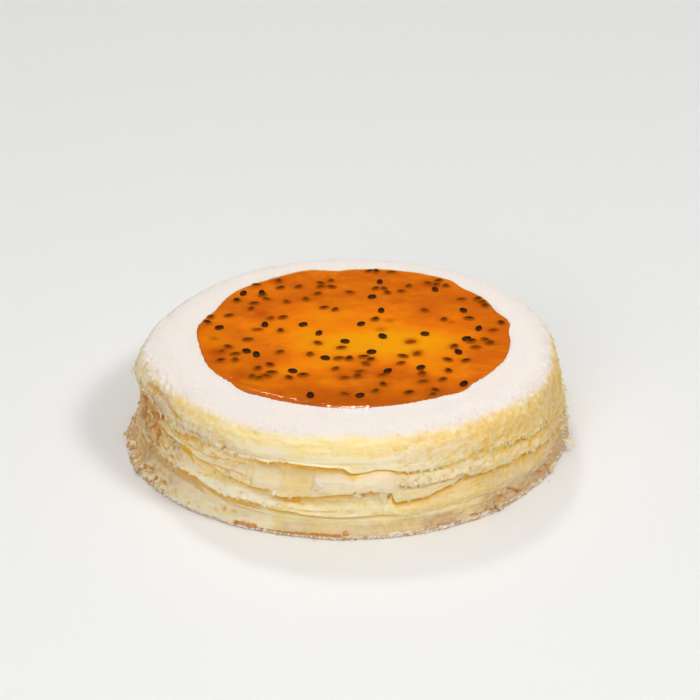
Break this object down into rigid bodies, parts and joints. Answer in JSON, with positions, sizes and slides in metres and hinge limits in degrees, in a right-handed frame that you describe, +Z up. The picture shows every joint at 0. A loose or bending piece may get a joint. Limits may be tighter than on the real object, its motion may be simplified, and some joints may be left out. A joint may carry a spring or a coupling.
{
  "type": "crepe cake",
  "caption": "Whole round crepe cake: stacked, folded crepes showing as ragged ledges down the side, icing sugar round the top and a glossy passion-fruit glaze with seeds.",
  "frame": {"origin": "centre of the flat underside", "axes": "+Z up through the stacked crepes, -Y the front, where the folds of the crepes' edges run lowest on the left, +X the right side"},
  "size_m": [0.2011, 0.197, 0.0468],
  "materials": {
    "crepe_browned": "moist crepe edge, browned in spots",
    "crepe_plain": "soft pale yellow crepe and cream",
    "crepe_sugared": "pale crepe dusted with icing sugar",
    "fruit_glaze": "clear wet orange jelly with dark seeds"
  },
  "bodies": {
    "root": {"crepe_base": "crepe_browned", "crepe_lower": "crepe_plain", "crepe_middle": "crepe_plain", "crepe_upper": "crepe_plain", "crepe_cap": "crepe_sugared", "fruit_glaze": "fruit_glaze"}
  },
  "joints": []
}
